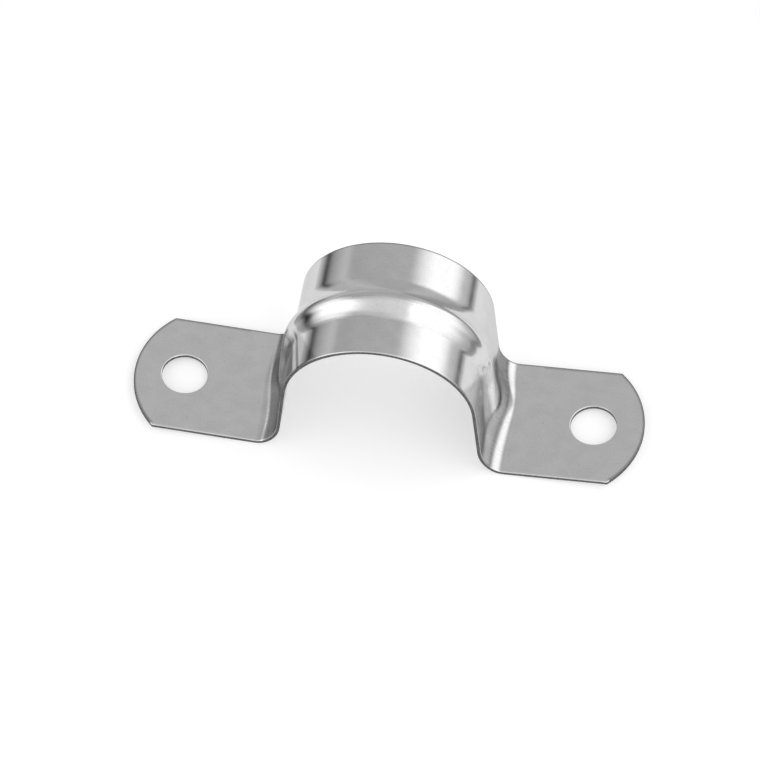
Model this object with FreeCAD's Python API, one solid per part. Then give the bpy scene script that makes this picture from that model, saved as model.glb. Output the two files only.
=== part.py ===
import FreeCAD, Part
import math
import os
from FreeCAD import Vector

os.makedirs("parts", exist_ok=True)

# The strap is one piece of thin steel sheet that is pressed to shape, trimmed and pierced.
# X runs from ear to ear, Y along the conduit and Z away from the wall.
# The origin is on the wall, under the middle of the arch.

# Driving dimensions, in millimetres and degrees
conduit_diameter = 20.0  # held under the arch
conduit_clearance = 0.1  # all round, until the screws pull the ears down
conduit_centre_height = 9.0  # of the arch's centre above the wall
sheet_thickness = 0.4
strap_width = 14.5
hole_spacing = 45.0
hole_diameter = 5.0
hole_end_distance = 5.5  # from a hole's centre to the rounded end of its ear
ear_end_radius = 9.8
bend_radius = 2.8  # in the corner of leg and ear, on the upper face
leg_lean_angle = 5.8  # outwards, from upright
ear_rise_angle = 2.9  # outwards, so that the screws pull the ears down to the wall
rib_height = 0.95
rib_width = 5.8
rib_crest_radius = 2.0
rib_foot_radius = 2.0  # in the same corner, where the rib runs into the ear
edge_rounding = 0.2  # of the upper face's rim, drawn in by the cutting tool

# Extra material around the sheet while it is formed, all of which the trim takes away
spare = 3.0

arch_centre = Vector(0, 0, conduit_centre_height)
opening_axis = Vector(0, -1, 0)  # a turn about it swings the side at +X outwards
arch_radius = conduit_diameter / 2 + conduit_clearance + sheet_thickness
overall_length = hole_spacing + 2 * hole_end_distance

# The rib's section is a crest arc between two base arcs, joined where they slope alike.
rib_slope = 2 * math.atan(2 * rib_height / rib_width)
rib_base_radius = rib_width / 2 / math.sin(rib_slope) - rib_crest_radius
rib_joint_share = rib_base_radius / (rib_base_radius + rib_crest_radius)

# The underside of each bend rests on the wall, which gives the height of the corner that leg and
# ear would make without the bend, and so the length of the leg from the arch to that corner.
lean = math.radians(leg_lean_angle)
rise = math.radians(ear_rise_angle)
bend_centre_height = bend_radius + sheet_thickness
corner_drop = bend_radius * (math.sin(lean) + math.cos(rise)) / (1 + math.sin(lean - rise))
corner_height = bend_centre_height - corner_drop
leg_rise = conduit_centre_height - corner_height + arch_radius * math.sin(lean)
leg_length = leg_rise / math.cos(lean)
corner_x = arch_radius * math.cos(lean) + leg_length * math.sin(lean)


def section_arc(centre_x, centre_y, radius, start_angle, end_angle):
    """Arc in the level plane through the arch's centre, about a point given from that centre."""
    points = []
    for angle in (start_angle, (start_angle + end_angle) / 2, end_angle):
        spoke = Vector(math.cos(angle), math.sin(angle), 0) * radius
        points.append(arch_centre + Vector(centre_x, centre_y, 0) + spoke)
    return Part.Arc(*points).toShape()


def ribbed_section(inner_x, inset):
    """Face from inner_x out to the ribbed skin, which lies inset under the upper face."""
    band_x = arch_radius - inset
    side_y = strap_width / 2 + spare
    rib_side_y = rib_width / 2
    crest_radius = rib_crest_radius - inset
    base_radius = rib_base_radius + inset
    crest_x = arch_radius + rib_height - rib_crest_radius
    base_x = arch_radius + rib_base_radius

    corners = [
        Vector(band_x, -rib_side_y, 0),
        Vector(band_x, -side_y, 0),
        Vector(inner_x, -side_y, 0),
        Vector(inner_x, side_y, 0),
        Vector(band_x, side_y, 0),
        Vector(band_x, rib_side_y, 0),
    ]
    points = [arch_centre + corner for corner in corners]
    outline = [Part.LineSegment(start, end).toShape() for start, end in zip(points, points[1:])]
    outline.append(section_arc(base_x, rib_side_y, base_radius, math.pi, math.pi + rib_slope))
    outline.append(section_arc(crest_x, 0, crest_radius, rib_slope, 0))
    outline.append(section_arc(crest_x, 0, crest_radius, 0, -rib_slope))
    outline.append(section_arc(base_x, -rib_side_y, base_radius, math.pi - rib_slope, math.pi))
    return Part.Face(Part.Wire(outline))


def bend_corner(side, corner, inset):
    """Round the corner of leg and ear. The radius eases from the flat bands to the rib's crest."""
    tolerance = 1e-6
    ear_normal = Vector(math.sin(lean - rise), 0, math.cos(lean - rise))
    foot = []
    for number, edge in enumerate(side.Edges, start=1):
        ends = [vertex.Point - corner for vertex in edge.Vertexes]
        on_ear = all(abs(end.dot(ear_normal)) < tolerance for end in ends)
        on_leg = all(-tolerance < end.x < rib_height + tolerance for end in ends)
        if on_ear and on_leg:
            foot.append((min(end.y for end in ends), number))
    foot.sort()

    # Shares of the rib's height at the ends of the six edges, across the strap
    rib_shares = [0, 0, rib_joint_share, 1, rib_joint_share, 0, 0]
    radii = [inset + bend_radius + share * (rib_foot_radius - bend_radius) for share in rib_shares]
    document = FreeCAD.newDocument()
    sharp = document.addObject("Part::Feature", "sharp_corner")
    sharp.Shape = side
    rounded = document.addObject("Part::Fillet", "rounded_corner")
    rounded.Base = sharp
    rounded.Edges = [(number, *pair) for (_, number), pair in zip(foot, zip(radii, radii[1:]))]
    document.recompute()
    bent = rounded.Shape.copy()
    FreeCAD.closeDocument(document.Name)
    return bent


def side_form(inset):
    """Leg and ear at +X as one chunky body: bent with the leg upright, then swung to its lean."""
    ear_drop = inset * math.cos(lean - rise) / (1 + math.sin(lean - rise))
    corner = arch_centre + Vector(arch_radius - inset, 0, -leg_length - ear_drop)
    depth = spare + inset
    leg_depth = arch_centre.z - corner.z + depth
    leg = ribbed_section(-spare, inset).extrude(Vector(0, 0, -leg_depth))
    near_corner = Vector(-spare, -strap_width / 2 - spare, corner.z - depth)
    reach = overall_length / 2 + 2 * spare
    ear = Part.makeBox(reach, strap_width + 2 * spare, depth, near_corner)
    ear.rotate(corner, opening_axis, ear_rise_angle - leg_lean_angle)
    side = bend_corner(leg.fuse(ear), corner, inset)
    side.rotate(arch_centre, opening_axis, leg_lean_angle)
    return side


def pressed_form(inset):
    """All that lies under the skin of the strap, which lies inset under its upper face."""
    section = ribbed_section(0, inset)
    section.rotate(arch_centre, opening_axis, leg_lean_angle)
    arch = section.revolve(arch_centre, opening_axis, 180 - 2 * leg_lean_angle)
    right_side = side_form(inset)
    left_side = right_side.mirror(Vector(0, 0, 0), Vector(1, 0, 0))
    return arch.fuse([right_side, left_side])


def tip_offcut():
    """All that is cut away beyond the rounded end of the ear at +X, square to the ear."""
    tip_centre_x = overall_length / 2 - ear_end_radius
    ear_face_height = corner_height + (tip_centre_x - corner_x) * math.tan(rise)
    tip_centre = Vector(tip_centre_x, 0, ear_face_height)
    half_height = ear_end_radius
    low_centre = tip_centre - Vector(0, 0, half_height)
    near_corner = low_centre - Vector(0, strap_width, 0)
    offcut = Part.makeBox(2 * ear_end_radius, 2 * strap_width, 2 * half_height, near_corner)
    offcut = offcut.cut(Part.makeCylinder(ear_end_radius, 2 * half_height, low_centre))
    offcut.rotate(tip_centre, opening_axis, ear_rise_angle)
    return offcut


def trim():
    """The room that the strap keeps between its cut sides and ends, less its two round holes."""
    height = conduit_centre_height + arch_radius + rib_height + 2 * spare
    near_corner = Vector(-overall_length / 2 - spare, -strap_width / 2, -spare)
    blank = Part.makeBox(overall_length + 2 * spare, strap_width, height, near_corner)
    offcut = tip_offcut()
    blank = blank.cut([offcut, offcut.mirror(Vector(0, 0, 0), Vector(1, 0, 0))])
    for hole_x in (-hole_spacing / 2, hole_spacing / 2):
        base = Vector(hole_x, 0, -spare)
        blank = blank.cut(Part.makeCylinder(hole_diameter / 2, height, base))
    return blank


def on_skin(body, point):
    """Whether a point lies on the outside of a body."""
    tolerance = 1e-4
    return body.Shells[0].distToShape(Part.Vertex(point))[0] < tolerance


def strap():
    """The sheet between its two faces, trimmed, pierced and with the upper face's rim rounded."""
    upper = pressed_form(0)
    lower = pressed_form(sheet_thickness)
    cut_line = trim()
    sheet = upper.cut(lower).common(cut_line).Solids[0]
    rim = []
    for edge in sheet.Edges:
        middle = edge.valueAt((edge.FirstParameter + edge.LastParameter) / 2)
        if on_skin(cut_line, middle) and on_skin(upper, middle):
            rim.append(edge)
    return sheet.makeFillet(edge_rounding, rim)


strap().exportStep("parts/strap.step")
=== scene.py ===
import math

import bpy
import numpy as np
from mathutils import Matrix, Vector


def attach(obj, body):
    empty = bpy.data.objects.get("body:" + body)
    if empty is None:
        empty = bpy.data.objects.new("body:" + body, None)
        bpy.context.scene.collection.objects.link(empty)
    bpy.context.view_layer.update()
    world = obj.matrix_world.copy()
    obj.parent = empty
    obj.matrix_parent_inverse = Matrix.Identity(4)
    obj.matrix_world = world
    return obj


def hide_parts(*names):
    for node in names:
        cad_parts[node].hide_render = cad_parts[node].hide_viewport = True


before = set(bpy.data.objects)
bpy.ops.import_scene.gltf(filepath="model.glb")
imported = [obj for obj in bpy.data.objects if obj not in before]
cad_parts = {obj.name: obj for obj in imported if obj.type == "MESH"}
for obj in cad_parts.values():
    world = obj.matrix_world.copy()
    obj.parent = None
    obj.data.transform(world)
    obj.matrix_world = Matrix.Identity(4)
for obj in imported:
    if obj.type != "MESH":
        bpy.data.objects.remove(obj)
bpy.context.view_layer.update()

# The camera. A long lens looks down from the front, a little from the right,
# and frames the strap from ear to ear.
camera_azimuth = math.radians(8.727)
camera_elevation = math.radians(54.833)
camera_distance = 0.41945
image_size = 760
focal_pixels = 3854.0
aim_point = Vector((0, 0, 0.00083))
aim_pixel_x = 388.3
aim_pixel_y = 399.4

camera_back = Vector((
    math.sin(camera_azimuth) * math.cos(camera_elevation),
    -math.cos(camera_azimuth) * math.cos(camera_elevation),
    math.sin(camera_elevation),
))
camera_right = Vector((math.cos(camera_azimuth), math.sin(camera_azimuth), 0))
camera_up = camera_back.cross(camera_right)
metres_per_pixel = camera_distance / focal_pixels
camera_place = aim_point + camera_back * camera_distance
camera_place += camera_right * (image_size / 2 - aim_pixel_x) * metres_per_pixel
camera_place += camera_up * (aim_pixel_y - image_size / 2) * metres_per_pixel

camera_data = bpy.data.cameras.new("product_camera")
camera_data.sensor_width = 36
camera_data.lens = focal_pixels / image_size * camera_data.sensor_width
camera_data.clip_start = 0.01
camera_data.clip_end = 20
camera = bpy.data.objects.new("product_camera", camera_data)
camera_turn = Matrix((camera_right, camera_up, camera_back)).transposed().to_4x4()
camera.matrix_world = Matrix.Translation(camera_place) @ camera_turn
bpy.context.scene.collection.objects.link(camera)
bpy.context.scene.camera = camera

# The strap: one piece of thin bright sheet steel. It is cut flat with its two holes, which draws
# the upper rim over, and then pressed: a rib is raised along its middle and its ends are folded
# into legs and ears.
strap_half_width = 0.00725
sheet_thickness = 0.0004
edge_rounding = 0.00013
arch_radius = 0.0105
arch_height = 0.009
leg_lean = math.radians(5.8)
ear_rise = math.radians(2.9)
bend_radius = 0.0028
bend_lopsidedness = 0.2
rib_height = 0.00095
rib_half_width = 0.0029
rib_spread_half_width = 0.0069
rib_crest_y = -0.00045
rib_foot_crest_y = 0.0014
rib_crest_radius = 0.0013
rib_foot_crest_radius = 0.008
rib_foot_radius = 0.002
rib_spread_start = 1.2  # station on the leg, as side_path counts them
rib_spread_end = 2.7  # station in the bend
ear_tip_x = 0.028
ear_end_radius = 0.0098
hole_x = 0.0225
hole_radius = 0.0025
ear_start_x = 0.0162


def smooth_step(value, start, end):
    """Share from 0 at the start to 1 at the end, with a soft beginning and end."""
    share = np.clip((value - start) / (end - start), 0, 1)
    return share * share * (3 - 2 * share)


def rib_share(stations, y):
    """How high the sheet stands, as a share of the rib's height. The rib's section is a crest arc
    between two base arcs, and the rib spreads out where it runs down into the bend."""
    spread = smooth_step(np.abs(stations), rib_spread_start, rib_spread_end)
    half_width = rib_half_width + spread * (rib_spread_half_width - rib_half_width)
    crest_y = rib_crest_y + spread * (rib_foot_crest_y - rib_crest_y)
    from_crest = np.abs(y - crest_y)
    side_width = half_width - np.sign(y - crest_y) * crest_y
    slope = 2 * np.arctan(rib_height / side_width)
    crest_radius = rib_crest_radius + spread * (rib_foot_crest_radius - rib_crest_radius)
    base_radius = side_width / np.sin(slope) - crest_radius
    crest_half_width = crest_radius * np.sin(slope)
    on_crest = np.minimum(from_crest, crest_half_width)
    crest = rib_height - crest_radius + np.sqrt(crest_radius**2 - on_crest**2)
    from_foot = np.clip(side_width - from_crest, 0, base_radius * np.sin(slope))
    base = base_radius - np.sqrt(base_radius**2 - from_foot**2)
    return np.where(from_crest < crest_half_width, crest, base) / rib_height


def side_path(raised, foot_radius):
    """Line along the right half of the upper face, raised over the flat bands by so much. It has a
    point for each station: 0 to 1 on the arch, to 2 on the leg, to 3 in the bend, to 4 on the ear."""
    leg_out = np.array([math.cos(leg_lean), math.sin(leg_lean)])
    ear_up = np.array([-math.sin(ear_rise), math.cos(ear_rise)])
    ear_out = np.array([math.cos(ear_rise), math.sin(ear_rise)])
    centre = np.array([0, arch_height])

    # The underside of the bend rests on the table. Its centre lies its radius away from both the
    # leg's line and the ear's, and these two lines meet in a corner.
    bend_centre_height = bend_radius + sheet_thickness
    leg_level = leg_out @ centre + arch_radius
    bend_centre_x = (leg_level + bend_radius - leg_out[1] * bend_centre_height) / leg_out[0]
    ear_level = ear_up @ (bend_centre_x, bend_centre_height) - bend_radius
    corner = np.linalg.solve([leg_out, ear_up], [leg_level + raised, ear_level])
    leg_up = np.array([-leg_out[1], leg_out[0]])
    reach = foot_radius * math.tan((math.pi / 2 + ear_rise - leg_lean) / 2)
    leg_reach = leg_up * reach * (1 + bend_lopsidedness)
    ear_reach = ear_out * reach * (1 - bend_lopsidedness)
    leg_start = centre + leg_out * (arch_radius + raised)
    leg_end = corner + leg_reach
    ear_start = corner + ear_reach
    ear_end = ear_start + ear_out * (ear_start_x - ear_start[0]) / ear_out[0]

    def place(stations):
        s = stations[..., None]
        arch_angle = math.pi / 2 + (leg_lean - math.pi / 2) * s
        arch_spoke = np.concatenate([np.cos(arch_angle), np.sin(arch_angle)], -1)
        on_arch = centre + (arch_radius + raised) * arch_spoke
        on_leg = leg_start + (leg_end - leg_start) * (s - 1)
        turn = (s - 2) * math.pi / 2
        on_bend = corner + leg_reach * (1 - np.sin(turn)) + ear_reach * (1 - np.cos(turn))
        on_ear = ear_start + (ear_end - ear_start) * (s - 3)
        return np.select([s < 1, s < 2, s < 3], [on_arch, on_leg, on_bend], on_ear)

    return place, ear_out, ear_up, ear_end


band_path, ear_out, ear_up, ear_seam = side_path(0, bend_radius)
crest_path, *_ = side_path(rib_height, rib_foot_radius)


def pressed(stations, y):
    """Points of the upper face at these stations and distances from the middle line."""
    share = rib_share(stations, y)[..., None]
    side = np.where(stations < 0, -1, 1)
    line = band_path(np.abs(stations)) * (1 - share) + crest_path(np.abs(stations)) * share
    return np.stack([side * line[..., 0], y, line[..., 1]], -1)


def pressed_normal(stations, y):
    """Outward directions of the upper face at the same points."""
    station_step = 1e-4
    width_step = 1e-7
    along = pressed(stations + station_step, y) - pressed(stations - station_step, y)
    across = pressed(stations, y + width_step) - pressed(stations, y - width_step)
    normal = np.cross(along, across)
    return normal / np.linalg.norm(normal, axis=-1, keepdims=True)


arch_steps = 56
leg_steps = 12
bend_steps = 30
seam_steps = 3
half_stations = np.concatenate([
    np.linspace(0, 1, arch_steps, endpoint=False),
    np.linspace(1, 2, leg_steps, endpoint=False),
    np.linspace(2, 3, bend_steps, endpoint=False),
    np.linspace(3, 4, seam_steps + 1),
])
stations = np.concatenate([-half_stations[:0:-1], half_stations])

inner_steps = 96
inner_half_width = strap_half_width - 2 * edge_rounding
inner_y = np.linspace(-inner_half_width, inner_half_width, inner_steps + 1)

# Lengths along the upper face, from the top of the arch
length_steps = 400
fine_stations = np.linspace(0, 4, length_steps + 1)
fine_distances = np.linalg.norm(np.diff(band_path(fine_stations), axis=0), axis=-1)
fine_lengths = np.concatenate([[0], np.cumsum(fine_distances)])


def length_at(stations):
    """Length along the upper face from the top of the arch, negative on the left."""
    return np.sign(stations) * np.interp(np.abs(stations), fine_stations, fine_lengths)


tip_centre_x = ear_tip_x - ear_end_radius
side_steps = 9
tip_steps = 72
ring_shares = (0, 0.12, 0.3, 0.55, 0.8, 0.94)


def seam_y(inset):
    """Distances from the middle line of all points across the strap."""
    return np.concatenate([[inset - strap_half_width], inner_y, [strap_half_width - inset]])


def ear_outline(inset):
    """Outline of the flat part of an ear from above: the seam, the back, the tip, the front."""
    half_width = strap_half_width - inset
    tip_radius = ear_end_radius - inset
    corner_angle = math.asin(half_width / tip_radius)
    corner_x = tip_centre_x + tip_radius * math.cos(corner_angle)
    seam = np.stack([np.full(len(inner_y) + 2, ear_start_x), seam_y(inset)], -1)
    side_x = np.linspace(ear_start_x, corner_x, side_steps + 1)[1:]
    back = np.stack([side_x, np.full(side_steps, half_width)], -1)
    tip_angles = np.linspace(corner_angle, -corner_angle, tip_steps + 1)[1:]
    tip_spokes = np.stack([np.cos(tip_angles), np.sin(tip_angles)], -1)
    tip = tip_radius * tip_spokes + (tip_centre_x, 0)
    front = back[-2::-1] * (1, -1)
    return np.concatenate([seam, back, tip, front])


def hole_outline(inset):
    """Outline of an ear's hole, with one point for each point of the ear's own outline."""
    around = ear_outline(inset) - (hole_x, 0)
    spokes = around / np.linalg.norm(around, axis=-1, keepdims=True)
    return spokes * (hole_radius + inset) + (hole_x, 0)


def on_ear(plan, side, depth):
    """Points of an ear under these places seen from above, so far under the upper face."""
    rise = (plan[..., 0] - ear_seam[0]) * math.tan(ear_rise)
    points = np.stack([side * plan[..., 0], plan[..., 1], ear_seam[1] + rise], -1)
    return points - depth * np.array([side * ear_up[0], 0, ear_up[1]])


points = []
faces = []
flat_places = []
sheared_shares = []


def add_points(new_points, lengths, depth, shares):
    """Adds points to the sheet, with their places on the flat strip and how far they belong to its
    sheared edge, and gives their numbers, in the same rows."""
    first = sum(len(group) for group in points)
    points.append(new_points.reshape(-1, 3))
    lengths = np.broadcast_to(lengths, new_points.shape[:-1])
    depths = np.full_like(lengths, -depth)
    flat_places.append(np.stack([lengths, new_points[..., 1], depths], -1).reshape(-1, 3))
    sheared_shares.append(np.broadcast_to(shares, new_points.shape[:-1]).reshape(-1))
    return np.arange(first, first + len(points[-1])).reshape(new_points.shape[:-1])


def ear_lengths(plan, side):
    """Lengths along the upper face to these places of an ear, seen from above."""
    return side * (length_at(4) + (plan[..., 0] - ear_start_x) / math.cos(ear_rise))


def add_ear_points(plan, side, depth, shares):
    """Adds points of an ear under these places seen from above."""
    return add_points(on_ear(plan, side, depth), ear_lengths(plan, side), depth, shares)


def add_faces(low, high, forwards):
    """Joins two rows of points, given by their numbers, with four-sided faces that run one way
    round or the other."""
    corners = np.stack([low[:-1], low[1:], high[1:], high[:-1]], -1)
    faces.append(corners if forwards else corners[:, ::-1])


def closed(row):
    """The same row of points, back to its start."""
    return np.append(row, row[0])


def rim_shares(y, front_share, rear_share):
    """How far points of the rim belong to the sheared edge: in front, and at the ends and behind."""
    return np.where(y < -inner_half_width, front_share, rear_share)


def add_skin(inset, depth, upward, front_share, rear_share):
    """Adds one face of the sheet and gives its edges: the outer one, then both holes'."""
    s, y = np.meshgrid(stations, seam_y(inset), indexing="ij")
    middle_shares = np.zeros_like(s)
    middle_shares[:, 0] = front_share
    middle_shares[:, -1] = rear_share
    middle_points = pressed(s, y) - depth * pressed_normal(s, y)
    middle = add_points(middle_points, length_at(s), depth, middle_shares)
    for low, high in zip(middle, middle[1:]):
        add_faces(low, high, not upward)
    free_edges = []
    hole_edges = []
    for side, seam in ((-1, middle[0]), (1, middle[-1])):
        outline = ear_outline(inset)
        hole = hole_outline(inset)
        free_outline = outline[len(seam):]
        free_shares = rim_shares(free_outline[:, 1], front_share, rear_share)
        free_edge = add_ear_points(free_outline, side, depth, free_shares)
        rings = []
        for share in ring_shares:
            ring = hole + (outline - hole) * share
            rings.append(add_ear_points(ring, side, depth, 0 if share else front_share))
        rings.append(np.concatenate([seam, free_edge]))
        for low, high in zip(rings, rings[1:]):
            add_faces(closed(low), closed(high), (side > 0) == upward)
        free_edges.append(free_edge)
        hole_edges.append(rings[0])
    outer_edge = np.concatenate([middle[:, 0], free_edges[1][::-1], middle[::-1, -1], free_edges[0]])
    return [outer_edge, *hole_edges]


def add_edges(inset, depth, front_share, rear_share):
    """Adds one step of the section of the cut edges, in the same order as a skin's edges."""
    y = np.full(len(stations), inset - strap_half_width)
    front = pressed(stations, y) - depth * pressed_normal(stations, y)
    back = front[::-1] * (1, -1, 1)
    free_outline = ear_outline(inset)[len(inner_y) + 2:]
    right_ear = on_ear(free_outline[::-1], 1, depth)
    left_ear = on_ear(free_outline, -1, depth)
    lengths = np.concatenate([
        length_at(stations),
        ear_lengths(free_outline[::-1], 1),
        length_at(stations[::-1]),
        ear_lengths(free_outline, -1),
    ])
    outer_edge = np.concatenate([front, right_ear, back, left_ear])
    shares = rim_shares(outer_edge[:, 1], front_share, rear_share)
    edges = [add_points(outer_edge, lengths, depth, shares)]
    for side in (-1, 1):
        edges.append(add_ear_points(hole_outline(inset), side, depth, front_share))
    return edges


rounding_steps = 6
rounding_angles = np.linspace(0, math.pi / 2, rounding_steps + 1)[1:]
rear_rim_share = 0.65
rim_dark_start = 0.6  # angles round the rim, in radians
rim_dark_end = 1.4
edge_steps = [add_skin(edge_rounding, 0, True, 0, rear_rim_share)]
for angle in rounding_angles:
    step_inset = edge_rounding * (1 - math.sin(angle))
    step_depth = edge_rounding * (1 - math.cos(angle))
    front_share = float(smooth_step(angle, rim_dark_start, rim_dark_end))
    rear_share = rear_rim_share + (1 - rear_rim_share) * float(smooth_step(angle, 0, rim_dark_start))
    edge_steps.append(add_edges(step_inset, step_depth, front_share, rear_share))
edge_steps.append(add_skin(0, sheet_thickness, False, 1, 1))

# Ways round for the walls of the outer edge, the left hole and the right hole, which make all three
# face away from the metal
wall_ways = (False, True, False)
for upper_edges, lower_edges in zip(edge_steps, edge_steps[1:]):
    for upper, lower, forwards in zip(upper_edges, lower_edges, wall_ways):
        add_faces(closed(upper), closed(lower), forwards)

strap_mesh = bpy.data.meshes.new("pressed_strap")
strap_mesh.from_pydata(np.concatenate(points).tolist(), [], np.concatenate(faces).tolist())
strap_mesh.validate()
strap_mesh.shade_smooth()
strap_mesh.set_sharp_from_angle(angle=math.radians(35))
strap = bpy.data.objects.new("pressed_strap", strap_mesh)
bpy.context.scene.collection.objects.link(strap)
even_normals = strap.modifiers.new("even_normals", "WEIGHTED_NORMAL")
even_normals.keep_sharp = True

flat_place = strap_mesh.attributes.new("flat_place", "FLOAT_VECTOR", "POINT")
flat_place.data.foreach_set("vector", np.concatenate(flat_places).astype(np.float32).ravel())
sheared_share = strap_mesh.attributes.new("sheared", "FLOAT", "POINT")
sheared_share.data.foreach_set("value", np.concatenate(sheared_shares).astype(np.float32))

# The steel is bright and smooth from the rolls. The press has drawn it where it runs over the legs
# and bends, which leaves it duller and scored there, and the shears leave a rough, dark edge.
steel_grey = 0.66
sheared_grey = 0.13
grazing_tint = 0.8
rolled_roughness = 0.13
drawn_roughness = 0.19
sheared_roughness = 0.45
steel = bpy.data.materials.new("bright_rolled_steel")
steel.use_nodes = True
steel_nodes = steel.node_tree.nodes
steel_links = steel.node_tree.links
steel_shader = steel_nodes["Principled BSDF"]
steel_shader.inputs["Metallic"].default_value = 1
steel_shader.inputs["Specular Tint"].default_value = (grazing_tint, grazing_tint, grazing_tint, 1)


def steel_attribute(name, output):
    """One of the strap's own attributes."""
    attribute = steel_nodes.new("ShaderNodeAttribute")
    attribute.attribute_name = name
    return attribute.outputs[output]


def steel_math(operation, *values):
    """A sum of numbers and sockets."""
    step = steel_nodes.new("ShaderNodeMath")
    step.operation = operation
    for socket, value in zip(step.inputs, values):
        if isinstance(value, (int, float)):
            socket.default_value = value
        else:
            steel_links.new(value, socket)
    return step.outputs[0]


def steel_share(value, start, end, low=0.0, high=1.0):
    """A soft change from low to high while the value goes from start to end."""
    share = steel_nodes.new("ShaderNodeMapRange")
    share.interpolation_type = "SMOOTHSTEP"
    for name, limit in (("From Min", start), ("From Max", end), ("To Min", low), ("To Max", high)):
        share.inputs[name].default_value = limit
    steel_links.new(value, share.inputs["Value"])
    return share.outputs[0]


def steel_fade(value, start, end):
    """A soft change from 1 to 0 while the value goes from start to end."""
    return steel_share(value, start, end, 1.0, 0.0)


def steel_product(first, *others):
    """All of these numbers and sockets multiplied."""
    for other in others:
        first = steel_math("MULTIPLY", first, other)
    return first


def steel_noise(place, grain, detail=3.0):
    """Noise whose grains have this length along, across and through the strip, in metres."""
    spread = steel_nodes.new("ShaderNodeMapping")
    spread.inputs["Scale"].default_value = [1 / size for size in grain]
    steel_links.new(place, spread.inputs["Vector"])
    noise = steel_nodes.new("ShaderNodeTexNoise")
    noise.inputs["Scale"].default_value = 1
    noise.inputs["Detail"].default_value = detail
    steel_links.new(spread.outputs[0], noise.inputs["Vector"])
    return noise.outputs["Fac"]


strip_place = steel_attribute("flat_place", "Vector")
sheared_edge = steel_attribute("sheared", "Fac")
strip_axes = steel_nodes.new("ShaderNodeSeparateXYZ")
steel_links.new(strip_place, strip_axes.inputs[0])
along = strip_axes.outputs["X"]
across = strip_axes.outputs["Y"]
from_middle = steel_math("ABSOLUTE", along)
crown_half_width = 0.001


def left_to_right(left, right):
    """One value on the left half of the strap and another on the right."""
    return steel_share(along, -crown_half_width, crown_half_width, left, right)


# Marks, the painted shade, the painted reflections and the painted highlight lie on the upper face
# only, and end at this depth.
# A mark comes in between the two places of its rise and goes between the two places of its fall.
mark_depth = 0.0002
mark_depth_fade = 0.0001
on_top = steel_share(strip_axes.outputs["Z"], -mark_depth - mark_depth_fade, -mark_depth)

# The press has drawn the legs and bends.
drawn_rise = (length_at(1) - 0.002, length_at(1) + 0.001)
drawn_fall = (length_at(3) - 0.0012, length_at(3))
drawn = steel_product(steel_share(from_middle, *drawn_rise), steel_fade(from_middle, *drawn_fall))

# Painted shade: the bends are painted darker, most of all behind the rib. The painted shade ends on a
# line that wanders a little across the strap.
bend_shade_rise = (length_at(2) - 0.0006, length_at(2) + 0.0003)
left_bend_shade_end = 0.00036 - length_at(2.72)
left_bend_shade_margin = 0.0002
left_front_wander = 0.0003
left_rear_wander = 0.00085
right_bend_shade_end = length_at(2.71) - 0.0003
right_bend_shade_margin = 0.0003
right_front_wander = 0.0002
right_crest_wander = 0.0007
right_crest_y = 0.0018
right_crest_half_width = 0.0026
front_bend_shade_depth = 0.19
extra_rear_bend_shade_depth = 0.17
rear_bend_shade_rise = (-0.001, 0.003)

left_rear_shift = steel_share(across, 0.0, 0.006, 0.0, left_rear_wander)
left_front_shift = steel_share(across, -0.007, -0.0035, left_front_wander, 0.0)
left_bend_shade_place = steel_math("ADD", along, left_rear_shift)
left_bend_shade_place = steel_math("ADD", left_bend_shade_place, left_front_shift)
left_bend_shaded = steel_share(
    left_bend_shade_place, left_bend_shade_end - left_bend_shade_margin, left_bend_shade_end + left_bend_shade_margin,
)
right_front_shift = steel_share(across, -0.007, -0.003, right_front_wander, 0.0)
from_right_crest = steel_math("ABSOLUTE", steel_math("SUBTRACT", across, right_crest_y))
right_crest_shift = steel_share(
    from_right_crest, 0.0, right_crest_half_width, right_crest_wander, 0.0,
)
right_bend_shade_place = steel_math("ADD", along, right_front_shift)
right_bend_shade_place = steel_math("SUBTRACT", right_bend_shade_place, right_crest_shift)
right_bend_shaded = steel_fade(
    right_bend_shade_place, right_bend_shade_end - right_bend_shade_margin, right_bend_shade_end + right_bend_shade_margin,
)
painted_bend_shade = steel_product(left_bend_shaded, right_bend_shaded, on_top, steel_share(from_middle, *bend_shade_rise))
extra_bend_shade = steel_share(across, *rear_bend_shade_rise, 0.0, extra_rear_bend_shade_depth)
bend_shade_depth = steel_math("ADD", extra_bend_shade, front_bend_shade_depth)

# Painted highlight: the painted shade on the left ends in a thin lighter line, painted as the
# highlight of a raised lip, bright towards the front and broken by the mottle.
lip_width = 0.00012
lip_top = left_bend_shade_end - left_bend_shade_margin
front_lip_highlight = 0.34
rear_lip_highlight = 0.1
lip_front_y = -0.004
lip_rear_y = -0.001
painted_lip_highlight = steel_product(
    steel_share(left_bend_shade_place, lip_top - 2 * lip_width, lip_top),
    steel_fade(left_bend_shade_place, lip_top, lip_top + lip_width),
    steel_share(across, lip_front_y, lip_rear_y, front_lip_highlight, rear_lip_highlight),
    on_top,
)

# Painted reflection: in front of the rib both legs are painted darker as a dark reflection, from a
# slanting line on the arch down to the bends.
left_dark_reflection_start = 0.0128
right_dark_reflection_start = 0.0165
dark_reflection_slant = -0.8
dark_reflection_margin = 0.0004
dark_reflection_depth = 0.19
dark_reflection_fall = (length_at(2.1) - 0.0012, length_at(2.1))
rib_front_fall = (-0.0022, -0.0012)
dark_reflection_place = steel_math("ADD", from_middle, steel_math("MULTIPLY", across, dark_reflection_slant))
past_dark_reflection_line = steel_math(
    "SUBTRACT", dark_reflection_place, left_to_right(left_dark_reflection_start, right_dark_reflection_start),
)
before_rib = steel_product(on_top, steel_fade(across, *rib_front_fall))
painted_dark_reflection = steel_product(
    steel_share(past_dark_reflection_line, -dark_reflection_margin, dark_reflection_margin),
    steel_fade(from_middle, *dark_reflection_fall),
    before_rib,
)
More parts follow.
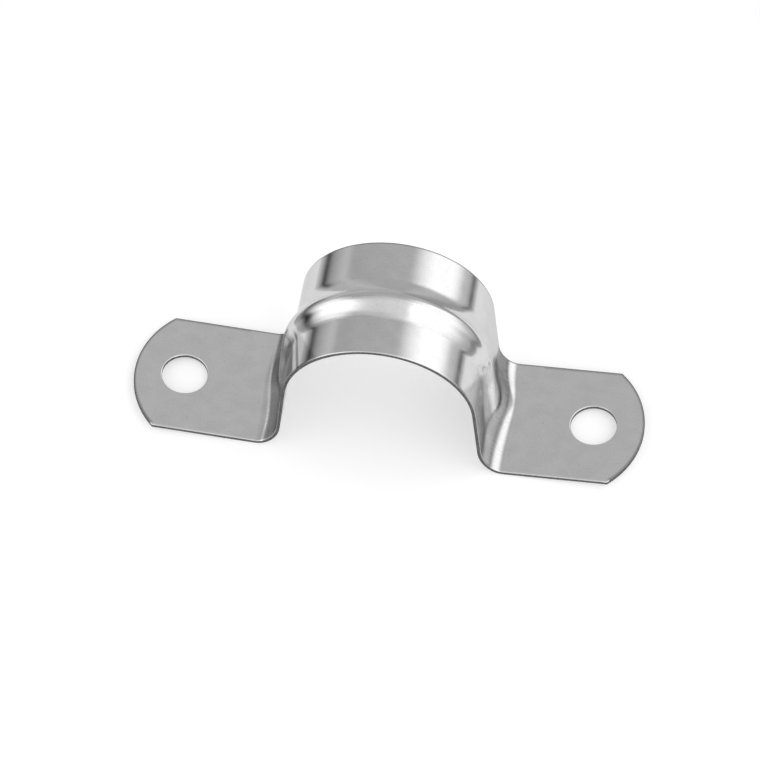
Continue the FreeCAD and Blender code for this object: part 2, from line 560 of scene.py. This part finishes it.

# Painted reflection: on the left a darker patch of the painted reflection lies in it, from a second
# slanting line to the upper end of the leg.
patch_start = 0.01425
patch_slant = -0.45
patch_margin = 0.0002
patch_depth = 0.2
patch_fall = (length_at(1.15), length_at(1.4))
patch_front_fall = (-0.0014, -0.0004)
patch_place = steel_math("ADD", from_middle, steel_math("MULTIPLY", across, patch_slant))
painted_reflection_patch = steel_product(
    steel_share(patch_place, patch_start - patch_margin, patch_start + patch_margin),
    steel_fade(from_middle, *patch_fall),
    steel_fade(across, *patch_front_fall),
    left_to_right(1.0, 0.0),
    on_top,
)

# Painted reflection: a thin dark line of the painted reflection crosses it on the left.
reflection_line_start = 0.0126
reflection_line_slant = 0.35
reflection_line_width = 0.00042
reflection_line_depth = 0.32
reflection_line_place = steel_math("ADD", along, steel_math("MULTIPLY", across, reflection_line_slant))
from_reflection_line = steel_math("ABSOLUTE", steel_math("ADD", reflection_line_place, reflection_line_start))
painted_reflection_line = steel_product(steel_fade(from_reflection_line, 0.1 * reflection_line_width, reflection_line_width), before_rib)

# On the right leg the die has polished a speckled stripe on the front of the crest.
stripe_y = -0.0013
stripe_width = 0.0007
speckle_height = 0.3
stripe_rise = (length_at(1.2), length_at(1.45))
stripe_fall = (length_at(1.95), length_at(2.3))
from_stripe = steel_math("ABSOLUTE", steel_math("SUBTRACT", across, stripe_y))
polished = steel_product(
    steel_fade(from_stripe, 0.3 * stripe_width, stripe_width),
    steel_share(along, *stripe_rise),
    steel_fade(along, *stripe_fall),
    on_top,
)

# Grain of the surface: faint clouds, fine mottle, scores along the strip, roll marks across it, pits
clouds = steel_noise(strip_place, (0.0022, 0.0018, 0.002))
mottle = steel_noise(strip_place, (0.00016, 0.00014, 0.0002))
scores = steel_noise(strip_place, (0.0012, 0.00009, 0.001))
roll_marks = steel_noise(strip_place, (0.00012, 0.0016, 0.001))
pits = steel_noise(strip_place, (0.0003, 0.00025, 0.0003), 1.0)

# The grey of the sheet, a little lighter on the undrawn ears, less what the marks, the painted shade
# and the painted reflections take away, plus the painted highlight
grain_range = (0.3, 0.7)
grain_change = 0.02
ear_lightening = 0.045
ear_grey_rise = (length_at(2.9), length_at(3))
drawn_score_depth = 0.1
pit_depth = 0.07
cloud_grey = steel_share(clouds, *grain_range, -grain_change, grain_change)
mottle_grey = steel_share(mottle, *grain_range, -grain_change, grain_change)
ear_grey = steel_share(from_middle, *ear_grey_rise, 0.0, ear_lightening)
worn_grey = steel_math("ADD", steel_math("ADD", cloud_grey, mottle_grey), steel_grey)
worn_grey = steel_math("ADD", worn_grey, ear_grey)
# Among these are the painted shade in the bends, the painted dark reflections in front of the rib and
# the lip's painted highlight.
marks = (
    ("SUBTRACT", drawn, steel_share(scores, 0.35, 0.7, 0.0, drawn_score_depth)),
    ("SUBTRACT", painted_bend_shade, bend_shade_depth),
    ("SUBTRACT", painted_dark_reflection, dark_reflection_depth),
    ("SUBTRACT", painted_reflection_patch, patch_depth),
    ("SUBTRACT", painted_reflection_line, reflection_line_depth),
    ("ADD", painted_lip_highlight, steel_share(mottle, 0.4, 0.62, 0.25, 1.1)),
    ("SUBTRACT", steel_share(pits, 0.66, 0.74), pit_depth),
    ("ADD", polished, steel_share(mottle, 0.4, 0.6, 0.0, speckle_height)),
)
for operation, mark, amount in marks:
    worn_grey = steel_math(operation, worn_grey, steel_math("MULTIPLY", mark, amount))
edge_grey = steel_share(mottle, 0.3, 0.75, 0.6 * sheared_grey, 1.5 * sheared_grey)
grey = steel_nodes.new("ShaderNodeMix")
steel_links.new(sheared_edge, grey.inputs[0])
steel_links.new(worn_grey, grey.inputs[2])
steel_links.new(edge_grey, grey.inputs[3])
steel_links.new(grey.outputs[0], steel_shader.inputs["Base Color"])

cloud_roughness = steel_share(clouds, *grain_range, -0.015, 0.02)
drawn_change = steel_math("MULTIPLY", drawn, drawn_roughness - rolled_roughness)
sheared_change = steel_math("MULTIPLY", sheared_edge, sheared_roughness - rolled_roughness)
roughness = steel_math("ADD", rolled_roughness, cloud_roughness)
roughness = steel_math("ADD", roughness, drawn_change)
roughness = steel_math("ADD", roughness, sheared_change)
steel_links.new(roughness, steel_shader.inputs["Roughness"])

mottle_relief = 0.2
roll_relief = 0.2
score_relief = 0.6
relief = steel_math("MULTIPLY", mottle, mottle_relief)
relief = steel_math("ADD", relief, steel_math("MULTIPLY", roll_marks, roll_relief))
relief = steel_math("ADD", relief, steel_product(scores, drawn, score_relief))
steel_bump = steel_nodes.new("ShaderNodeBump")
steel_bump.inputs["Strength"].default_value = 1
steel_bump.inputs["Distance"].default_value = 0.000004
steel_links.new(relief, steel_bump.inputs["Height"])
steel_links.new(steel_bump.outputs[0], steel_shader.inputs["Normal"])
strap_mesh.materials.append(steel)

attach(strap, "root")
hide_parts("strap")

# The table: a plain white sheet of paper under the strap, wide enough for every view. It takes the
# strap's shadow, and the camera and the steel see it as white.
table_left = -0.045
table_right = 0.056
table_front = -0.06
table_back = 0.06
table_level = -0.00003
paper_lit_grey = 0.68
paper_white_share = 0.37
table_corners = [
    (table_left, table_front, table_level),
    (table_right, table_front, table_level),
    (table_right, table_back, table_level),
    (table_left, table_back, table_level),
]
table_mesh = bpy.data.meshes.new("table")
table_mesh.from_pydata(table_corners, [], [(0, 1, 2, 3)])
table = bpy.data.objects.new("table", table_mesh)
bpy.context.scene.collection.objects.link(table)
paper = bpy.data.materials.new("white_paper")
paper.use_nodes = True
paper_nodes = paper.node_tree.nodes
paper_links = paper.node_tree.links
paper_shader = paper_nodes["Principled BSDF"]
paper_shader.inputs["Base Color"].default_value = (paper_lit_grey, paper_lit_grey, paper_lit_grey, 1)
paper_shader.inputs["Roughness"].default_value = 0.9
paper_shader.inputs["Specular IOR Level"].default_value = 0
paper_shader.inputs["Emission Color"].default_value = (1, 1, 1, 1)
ray_kind = paper_nodes.new("ShaderNodeLightPath")
seen_rays = ray_kind.outputs["Is Camera Ray"]
for kind in ("Is Glossy Ray", "Is Transmission Ray"):
    either = paper_nodes.new("ShaderNodeMath")
    either.operation = "MAXIMUM"
    paper_links.new(seen_rays, either.inputs[0])
    paper_links.new(ray_kind.outputs[kind], either.inputs[1])
    seen_rays = either.outputs[0]
whitening = paper_nodes.new("ShaderNodeMath")
whitening.operation = "MULTIPLY"
whitening.inputs[1].default_value = paper_white_share
paper_links.new(seen_rays, whitening.inputs[0])
paper_links.new(whitening.outputs[0], paper_shader.inputs["Emission Strength"])
table_mesh.materials.append(paper)

# The light: a pale grey studio with a long white soft box to the left and right of the camera and
# dim openings low down at both sides. The world shows each of them in its direction from the strap,
# and plain white where the camera itself looks past the table.
studio = bpy.data.worlds.new("studio")
bpy.context.scene.world = studio
studio.use_nodes = True
studio_nodes = studio.node_tree.nodes
studio_links = studio.node_tree.links
from_strap = studio_nodes.new("ShaderNodeTexCoord")
direction = studio_nodes.new("ShaderNodeSeparateXYZ")
studio_links.new(from_strap.outputs["Generated"], direction.inputs[0])
side_angle = studio_nodes.new("ShaderNodeMath")
side_angle.operation = "ARCTAN2"
studio_links.new(direction.outputs["X"], side_angle.inputs[0])
studio_links.new(direction.outputs["Z"], side_angle.inputs[1])
turn_share = studio_nodes.new("ShaderNodeMapRange")
turn_share.inputs["From Min"].default_value = -math.pi
turn_share.inputs["From Max"].default_value = math.pi
studio_links.new(side_angle.outputs[0], turn_share.inputs["Value"])


def studio_strip(levels):
    """Brightness by the angle from straight up, in degrees, negative on the left."""
    strip = studio_nodes.new("ShaderNodeValToRGB")
    stops = strip.color_ramp.elements
    while len(stops) < len(levels):
        stops.new(0.5)
    for stop, (angle, level) in zip(stops, levels):
        stop.position = 0.5 + angle / 360
        stop.color = (level, level, level, 1)
    studio_links.new(turn_share.outputs[0], strip.inputs["Fac"])
    return strip.outputs["Color"]


def studio_blend(share, first, second):
    """Changes from the first brightness to the second."""
    blend = studio_nodes.new("ShaderNodeMix")
    blend.data_type = "RGBA"
    studio_links.new(share, blend.inputs[0])
    studio_links.new(first, blend.inputs[6])
    studio_links.new(second, blend.inputs[7])
    return blend.outputs[2]


# Strips of the room from the camera's side to the back, and where each one takes over
room_strips = (
    (-0.3, 0.1, [
        (-126, 0.7), (-115, 0.5), (-108, 0.6), (-104, 0.45), (-99, 0.0), (-94, 0.02), (-90, 0.3),
        (-87, 0.85), (-82, 1.2), (-77, 1.6), (-46, 1.6), (-40, 1.4), (-34, 1.12), (-28, 0.95),
        (-18, 0.88), (10, 0.95), (17, 1.03), (21, 1.6), (64, 1.6), (72, 1.38), (78, 1.15),
        (83, 0.88), (88, 0.67), (94, 0.6), (98, 0.3), (102, 0.3), (108, 0.55), (113, 0.9),
    ]),
    (0.2, 0.34, [
        (-115, 0.55), (-104, 0.45), (-98, 0.12), (-93, 0.2), (-86, 0.7), (-77, 1.1), (-66, 1.38),
        (-56, 1.32), (-46, 0.9), (-38, 0.65), (-28, 0.7), (-10, 0.75), (5, 0.85), (15, 1.0),
        (22, 1.5), (62, 1.5), (70, 1.28), (78, 0.95), (86, 0.65), (94, 0.55), (99, 0.35),
        (103, 0.4), (112, 0.85),
    ]),
    (0.4, 0.5, [
        (-115, 0.5), (-104, 0.48), (-98, 0.15), (-92, 0.32), (-86, 0.5), (-77, 0.72), (-66, 0.82),
        (-58, 0.85), (-50, 0.66), (-38, 0.5), (-26, 0.5), (-14, 0.65), (12, 0.75), (18, 0.95),
        (25, 1.2), (33, 1.5), (58, 1.45), (66, 1.28), (72, 1.12), (78, 0.85), (83, 0.66),
        (93, 0.64), (99, 0.35), (104, 0.45), (112, 0.85),
    ]),
    (0.68, 0.8, [
        (-125, 0.85), (-110, 0.75), (-103, 0.38), (-99, 0.06), (-96, 0.08), (-92, 0.28),
        (-87, 0.45), (-74, 0.64), (-68, 0.7), (-64, 0.64), (-59, 0.52), (-50, 0.52), (-26, 0.56),
        (10, 0.58), (15, 0.62), (22, 0.92), (28, 1.16), (37, 1.42), (43, 1.56), (66, 1.54),
        (71, 1.42), (76, 1.17), (79, 0.98), (82, 0.76), (92, 0.64), (96, 0.38), (98, 0.12),
        (100, 0.18), (103, 0.5), (108, 0.85), (113, 0.93),
    ]),
    (None, None, [
        (-150, 0.72), (-110, 0.62), (-98, 0.63), (-74, 0.68), (-62, 0.65), (-50, 0.58), (-42, 0.55),
        (20, 0.54), (30, 0.58), (40, 0.65), (50, 0.68), (64, 0.65), (76, 0.59), (84, 0.54),
        (92, 0.47), (106, 0.44), (150, 0.5), (165, 0.65),
    ]),
)
room = None
for start, end, levels in room_strips:
    strip = studio_strip(levels)
    room = strip if room is None else studio_blend(depth_share, room, strip)
    if start is not None:
        depth_range = studio_nodes.new("ShaderNodeMapRange")
        depth_range.interpolation_type = "SMOOTHSTEP"
        depth_range.inputs["From Min"].default_value = start
        depth_range.inputs["From Max"].default_value = end
        studio_links.new(direction.outputs["Y"], depth_range.inputs["Value"])
        depth_share = depth_range.outputs[0]

camera_look = studio_nodes.new("ShaderNodeLightPath")
background_white = studio_nodes.new("ShaderNodeRGB")
background_white.outputs[0].default_value = (1, 1, 1, 1)
room = studio_blend(camera_look.outputs["Is Camera Ray"], room, background_white.outputs[0])
studio_links.new(room, studio_nodes["Background"].inputs["Color"])

bpy.context.scene.view_settings.view_transform = "Standard"
